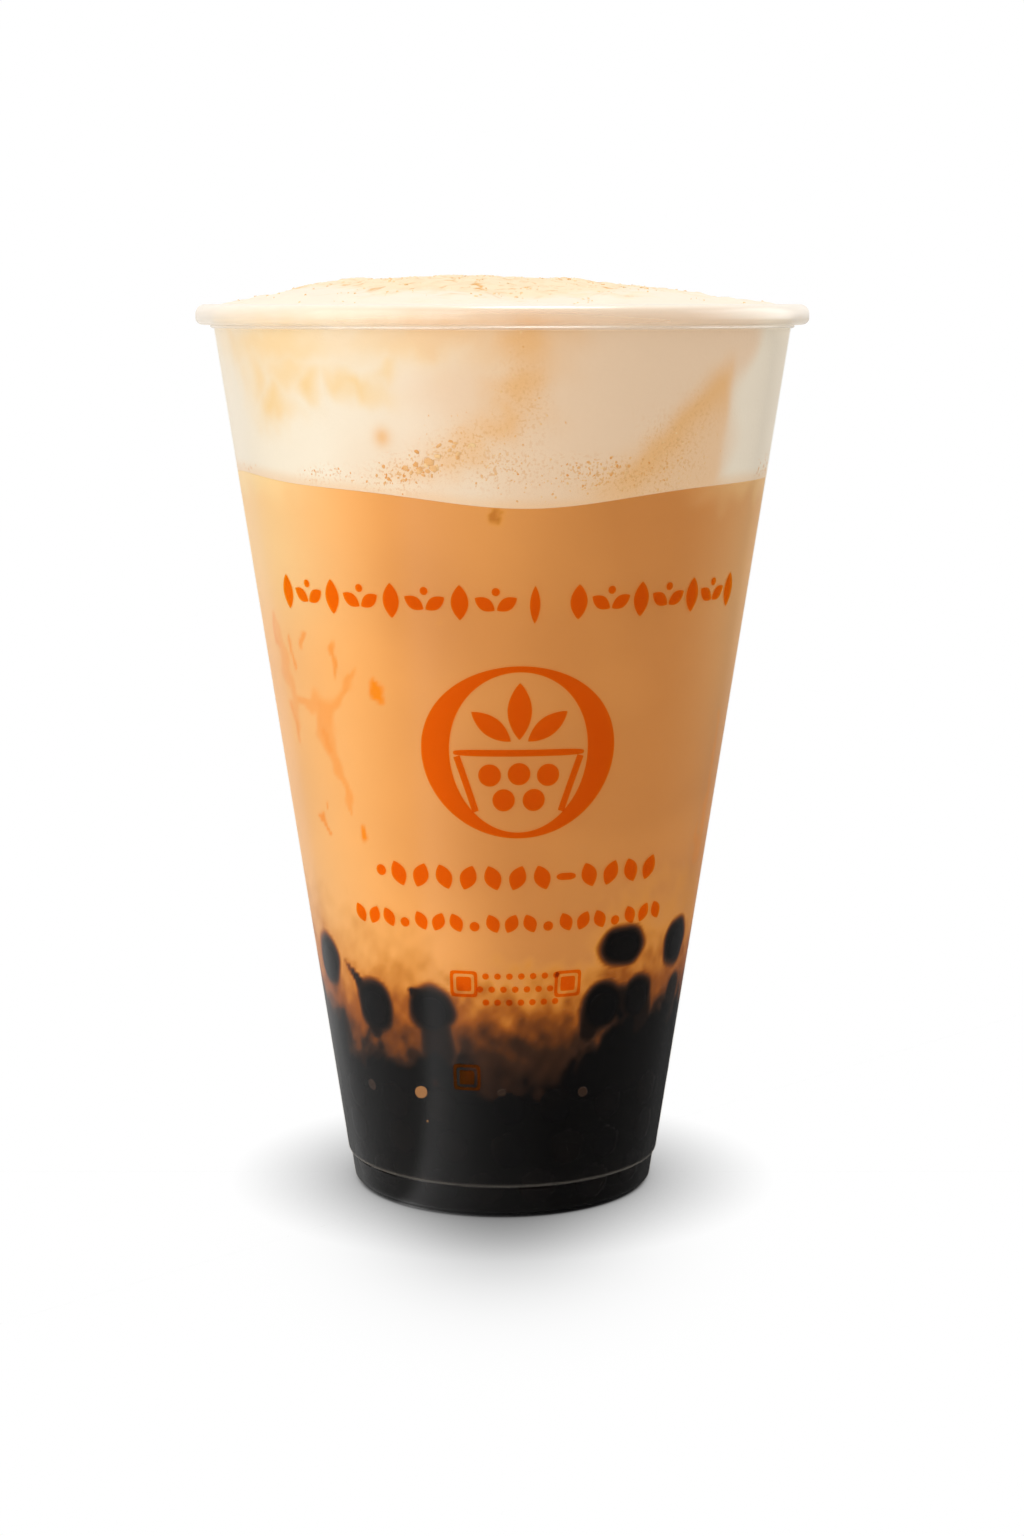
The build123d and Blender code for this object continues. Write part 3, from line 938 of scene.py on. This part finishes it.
def make_specks():
    """Brown sugar grains held in the foam at the wall, in drifts above the tea.

    A drift in front is a place, its spread, a count, a size and a shade, and seeded ones lie round the back.
    """
    rng = np.random.default_rng(81)
    azimuths, heights, sizes, shades = [], [], [], []
    for place, spread, count, size, shade in (
        ((-43, 115.6), (1.5, 0.6), 8, 0.16, 0.7),
        ((-36, 116.3), (1.8, 0.7), 12, 0.15, 0.6),
        ((-31, 114.9), (1.6, 0.5), 8, 0.16, 0.7),
        ((-21.5, 115.0), (2.4, 0.9), 30, 0.22, 0.8),
        ((-17, 116.6), (1.8, 0.9), 22, 0.3, 0.75),
        ((-12.5, 118.2), (1.4, 0.9), 9, 0.42, 0.6),
        ((-9, 119.8), (1.5, 0.9), 9, 0.4, 0.6),
        ((-9, 119.8), (6, 2.2), 60, 0.13, 0.5),
        ((0, 117.0), (4, 2.0), 55, 0.14, 0.5),
        ((4, 124.5), (2.5, 5.0), 26, 0.15, 0.45),
        ((12, 114.5), (5, 1.3), 60, 0.14, 0.5),
        ((24, 116.2), (6, 1.2), 110, 0.18, 0.75),
        ((32, 116.6), (4, 1.5), 70, 0.17, 0.7),
        ((36, 119.0), (3, 1.6), 30, 0.17, 0.6),
        ((45, 118), (5, 2.4), 14, 0.15, 0.5),
    ):
        azimuths.append(rng.normal(place[0], spread[0], count))
        heights.append(rng.normal(place[1], spread[1], count))
        sizes.append(size * rng.uniform(0.5, 1.6, count))
        shades.append(np.clip(rng.normal(shade, 0.18, count), 0.2, 1))
    for _ in range(26):
        count = int(rng.integers(10, 34))
        azimuths.append(rng.normal(rng.uniform(72, 288), 4, count))
        heights.append(rng.normal(rng.uniform(114.5, 119), 1.1, count))
        sizes.append(rng.uniform(0.1, 0.3, count))
        shades.append(rng.uniform(0.35, 0.95, count))
    azimuth, height = np.concatenate(azimuths), np.concatenate(heights)
    size, shade = np.concatenate(sizes), np.concatenate(shades)
    keep = height > foam_boundary(azimuth) + 0.35
    azimuth, height, size, shade = azimuth[keep], height[keep], size[keep], shade[keep]
    places = turned(azimuth, skin_radius(height) - 0.01, height)
    (points, faces), each = lumps(places, size, turned(azimuth, 1.0, -TAPER), 0.13, 82)
    fields = {"shade": np.repeat(shade, each)}
    add_mesh("sugar_specks", held(points, 0.06), faces, fields, CRUMB)


# Print


def on_wall(s, t, azimuth, height):
    """Outer and inner points of a film of ink, from its places s along the wall and t up."""
    level = height + t
    turn = azimuth + np.degrees(s / wall_radius(height))
    return turned(turn, wall_radius(level) + INK_THICK, level), turned(turn, wall_radius(level), level)


def wall_patch(s, t, azimuth, height):
    """Closed thin shell of ink from two grids, with strips that join its faces' edges."""
    outer, inner = on_wall(s, t, azimuth, height)
    rows, columns = s.shape
    points = np.vstack([outer.reshape(-1, 3), inner.reshape(-1, 3)])
    number = np.arange(rows * columns).reshape(rows, columns)
    front = quads(number)
    back = front[:, ::-1] + rows * columns
    loop = np.concatenate([number[0, :-1], number[:-1, -1], number[-1, :0:-1], number[:0:-1, 0]])
    ahead = np.roll(loop, -1)
    side = np.stack([ahead, loop, loop + rows * columns, ahead + rows * columns], -1)
    return points, [front, back, side]


def bar(length, tall, azimuth, height):
    """Rounded rectangle: x (length / 2 - 0.2 y^8) along the wall and y (tall / 2 - 0.2 x^8) up it."""
    steps = [np.linspace(-1, 1, max(5, int(size * 2))) for size in (length, tall)]
    x, y = np.meshgrid(*steps)
    return wall_patch(x * (length / 2 - 0.2 * y**8), y * (tall / 2 - 0.2 * x**8), azimuth, height)


def stick(thick, first, last, azimuth, height):
    """Straight stroke from one (s, t) to another: along the line by u and across it by v times half thick."""
    u, v = np.linspace(0, 1, 21)[:, None], np.linspace(-1, 1, 5)[None, :]
    run = np.subtract(last, first)
    side = np.array([run[1], -run[0]]) / np.hypot(*run) * thick / 2
    s, t = (first[k] + run[k] * u + side[k] * v for k in (0, 1))
    return wall_patch(s, t, azimuth, height)


def disc(radius, azimuth, height, shift=0.0, rise=0.0):
    """Round dot: a square grid bent into a disc by x sqrt(1 - y^2/2), y sqrt(1 - x^2/2)."""
    grid = np.linspace(-1, 1, 9)
    x, y = np.meshgrid(grid, grid)
    s, t = x * np.sqrt(1 - y**2 / 2), y * np.sqrt(1 - x**2 / 2)
    return wall_patch(radius * s + shift, radius * t + rise, azimuth, height)


def leaf(length, width, lean, azimuth, height, shift=0.0, rise=0.0):
    """Leaf: its half width is w sin(pi u)^0.8 along its length, turned by lean from upright."""
    u = np.linspace(0.004, 0.996, 15)[:, None]
    v = np.linspace(-1, 1, 7)[None, :]
    across = v * width / 2 * np.sin(np.pi * u) ** 0.8
    along = (u - 0.5) * length
    angle = np.radians(lean)
    s = across * np.cos(angle) + along * np.sin(angle)
    t = along * np.cos(angle) - across * np.sin(angle)
    return wall_patch(s + shift, t + rise, azimuth, height)


def ring(outer, inner, azimuth, height, power=2.0, count=96):
    """Band between two rounded outlines |x/a|^n + |y/b|^n = 1, each with its own half sizes a and b."""
    angle = np.linspace(0, 2 * np.pi, count + 1)[:-1]
    shape = (np.abs(np.cos(angle)) ** power + np.abs(np.sin(angle)) ** power) ** (-1 / power)
    share = np.linspace(0, 1, 5)[:, None]
    a = inner[0] + (outer[0] - inner[0]) * share
    b = inner[1] + (outer[1] - inner[1]) * share
    front, back = on_wall(a * shape * np.cos(angle), b * shape * np.sin(angle), azimuth, height)
    shell = np.concatenate([front, back[::-1]])
    rows = len(shell)
    i, j = np.arange(rows)[:, None] * count, np.arange(count)[None, :]
    below, after = (i + count) % (rows * count), (j + 1) % count
    faces = np.stack([i + j, below + j, below + after, i + after], -1).reshape(-1, 4)
    return shell.reshape(-1, 3), [faces]


def add_print(name, shapes):
    """One printed element from its closed shells."""
    points, faces = join(shapes)
    add_mesh(name, points, faces, {}, INK)


def make_print():
    """Plain orange decoration: a border of leaves, a badge with a sprig over dots, two rows and squares."""
    height = 97.4
    border = [leaf(5.6, 1.5, 0, 7.0, height - 0.3)]
    for k, place in enumerate([*np.linspace(-55.8, -1.4, 8), *np.linspace(16.6, 61.4, 7)]):
        if k % 2:
            border += [leaf(3.4, 1.9, side * 58, place, height, side * 1.6, -0.2) for side in (-1, 1)]
            border.append(disc(0.6, place, height, 0, 1.6))
        else:
            border.append(leaf(5.2, 2.6, 0, place, height))
    add_print("print_border", border)
    middle = (4.0, 74.9)
    badge = [ring((14.7, 13.1), (10.4, 12.2), *middle)]
    badge += [leaf(8.6, 3.5, 0, *middle, 0, 6.3)]
    badge += [leaf(7.2, 2.9, side * 52, *middle, side * 4.1, 4.0) for side in (-1, 1)]
    badge += [bar(19.6, 1.0, *middle)]
    badge += [stick(1.0, (side * 9.3, -0.55), (side * 6.6, -9.0), *middle) for side in (-1, 1)]
    dots = ((-4.4, -3.4), (0, -3.2), (4.4, -3.4), (-2.3, -7.2), (2.3, -7.2))
    badge += [disc(1.7, *middle, s, t) for s, t in dots]
    add_print("print_badge", badge)
    row = [disc(0.85, -34.0, 55.8)]
    for k, place in enumerate(np.linspace(-28.5, 43.0, 12)):
        lean = 20 if k % 2 else -20
        row.append(bar(3.0, 1.1, place, 55.6) if k == 7 else leaf(4.0, 2.5, lean, place, 55.6))
    add_print("print_upper_row", row)
    row = [
        disc(0.75, place, 47.9) if k % 4 == 3 else leaf(3.1, 2.0, 24 if k % 2 else -24, place, 48.4)
        for k, place in enumerate(np.linspace(-43.0, 48.0, 19))
    ]
    add_print("print_lower_row", row)
    squares = []
    for place in ((-11.2, 38.7), (19.2, 38.5), (-11.2, 23.5)):
        squares.append(ring((2.1, 2.1), (1.62, 1.62), *place, power=9.0, count=64))
        squares.append(ring((1.15, 1.15), (0.05, 0.05), *place, power=9.0, count=40))
    for i in range(1, 8):
        for j in range(3):
            squares.append(disc(0.5, -8.2 + 3.4 * i - 1.7 * (j % 2), 40.0 - 2.1 * j))
    add_print("print_squares", squares)


make_cup()
make_foam()
make_tea()
make_syrup()
make_pearls()
make_crumbs()
make_specks()
make_amber()
make_print()


# Stage, light and camera


def make_floor():
    """White table that the eye sees lit from below, with a soft shadow only close to the cup.

    The shadow is open sky times 1 - half exp(-((x / across)^2 + ((y + shift) / ahead)^2)). Glossy rays see a
    ring of light and dark cards round the cup instead.
    """
    material, tree = start_material("backlit white acrylic")
    place = add(tree, "TexCoord").outputs["Object"]
    seen = add(tree, "LightPath").outputs["Is Camera Ray"]
    sheet = add(tree, "BsdfDiffuse", {"Color": colour("d9d9d9")})
    parts = add(tree, "SeparateXYZ", {0: place}).outputs
    across = add(tree, "Math", {0: parts[0], 1: 17 * MM}, operation="DIVIDE")
    ahead = add(tree, "Math", {0: parts[1], 1: 25 * MM}, operation="ADD")
    ahead = add(tree, "Math", {0: ahead, 1: 29 * MM}, operation="DIVIDE")
    across = add(tree, "Math", {0: across, 1: across}, operation="MULTIPLY")
    fall = add(tree, "Math", {0: ahead, 1: ahead, 2: across}, operation="MULTIPLY_ADD")
    fall = add(tree, "Math", {0: fall, 1: -1.0}, operation="MULTIPLY")
    fall = add(tree, "Math", {0: fall}, operation="EXPONENT")
    cast = add(tree, "Math", {0: fall, 1: -0.5, 2: 1.0}, operation="MULTIPLY_ADD")
    open_sky = add(tree, "AmbientOcclusion", {"Distance": 20 * MM}, samples=16).outputs["AO"]
    level = add(tree, "Math", {0: open_sky, 1: cast}, operation="MULTIPLY")
    glow = add(tree, "Emission", {"Color": colour("ffffff"), "Strength": level})
    toward = add(tree, "Math", {0: parts[1], 1: -1.0}, operation="MULTIPLY")
    turn = add(tree, "Math", {0: parts[0], 1: toward}, operation="ARCTAN2")
    around = add(tree, "MapRange", {"Value": turn, "From Min": -np.pi, "From Max": np.pi})
    cards = add(tree, "ValToRGB", {"Fac": around})
    azimuths = (-180, -148, -122, -75, -56, -46, -38, -27, -12, 0, 25, 140, 180)
    greys = (0.45, 0.4, 0.2, 0.17, 0.13, 0.14, 0.46, 0.26, 0.11, 0.07, 0.025, 0.05, 0.4)
    places = [(azimuth + 180) / 360 for azimuth in azimuths]
    set_stops(cards, [(around, (grey, grey, grey, 1)) for around, grey in zip(places, greys)])
    shine = add(tree, "Emission", {"Color": cards, "Strength": 2.0})
    glossy = add(tree, "LightPath").outputs["Is Glossy Ray"]
    other = add(tree, "MixShader", {0: glossy, 1: sheet, 2: shine})
    both = add(tree, "MixShader", {0: seen, 1: other, 2: glow})
    end_material(material, tree, both)
    ticks = np.linspace(-20, 20, 3)
    x, y = np.meshgrid(ticks, ticks)
    mesh = bpy.data.meshes.new("table")
    points = np.stack([x, y, 0 * x], -1).reshape(-1, 3)
    mesh.from_pydata(points.tolist(), [], quads(np.arange(9).reshape(3, 3)).tolist())
    mesh.materials.append(material)
    table = bpy.data.objects.new("table", mesh)
    bpy.context.scene.collection.objects.link(table)


def add_lamp(name, kind, azimuth, elevation, distance, power, tint, size=None, spread=0.0):
    """Softbox of that width and height, or a far lamp of that spread, aimed at the middle of the cup."""
    light = bpy.data.lights.new(name, kind)
    light.energy = power
    light.color = colour(tint)[:3]
    if kind == "AREA":
        light.shape = "RECTANGLE"
        light.size, light.size_y = size
    else:
        light.angle = np.radians(spread)
    lamp = bpy.data.objects.new(name, light)
    bpy.context.scene.collection.objects.link(lamp)
    angle, rise = np.radians(azimuth), np.radians(elevation)
    lamp.location = (
        distance * np.cos(rise) * np.sin(angle),
        -distance * np.cos(rise) * np.cos(angle),
        70 * MM + distance * np.sin(rise),
    )
    lamp.rotation_euler = (np.pi / 2 - rise, 0, angle)


def make_light():
    """White surround, a key softbox from the left, a fill from the right, and a broad far lamp from above.

    The fill stands a little behind the cup, and the far lamp leans a little to the right.
    """
    world = bpy.data.worlds.new("studio")
    bpy.context.scene.world = world
    world.use_nodes = True
    tree = world.node_tree
    tree.nodes.clear()
    path = add(tree, "LightPath")
    room = add(tree, "Background", {"Color": colour("ffffff"), "Strength": 0.3})
    flags = add(tree, "Background", {"Color": colour("ffffff"), "Strength": 0.95})
    backdrop = add(tree, "Background", {"Color": colour("ffffff"), "Strength": 1.0})
    lit = add(tree, "MixShader", {0: path.outputs["Is Glossy Ray"], 1: room, 2: flags})
    both = add(tree, "MixShader", {0: path.outputs["Is Camera Ray"], 1: lit, 2: backdrop})
    add(tree, "OutputWorld", {"Surface": both})
    add_lamp("key", "AREA", -45, 12, 1.6, 25.0, "fffcf8", (1.8, 1.8))
    add_lamp("fill", "AREA", 105, 10, 1.6, 14.6, "ffffff", (1.6, 1.6))
    add_lamp("overhead", "SUN", 60, 80, 1.0, 1.54, "ffffff", spread=30)


def make_camera():
    """Camera level with the rim, looking a little down, with the cup slightly left of the middle."""
    camera = bpy.data.cameras.new("camera")
    camera.lens = 66.16
    camera.sensor_width = 36.0
    camera.shift_x = 0.0063
    camera.clip_start = 0.01
    eye = bpy.data.objects.new("camera", camera)
    bpy.context.scene.collection.objects.link(eye)
    eye.location = (0, -0.4449, 0.1399)
    eye.rotation_euler = (np.radians(90 - 9.32), 0, 0)
    bpy.context.scene.camera = eye


make_floor()
make_light()
make_camera()
bpy.context.scene.view_settings.view_transform = "Standard"
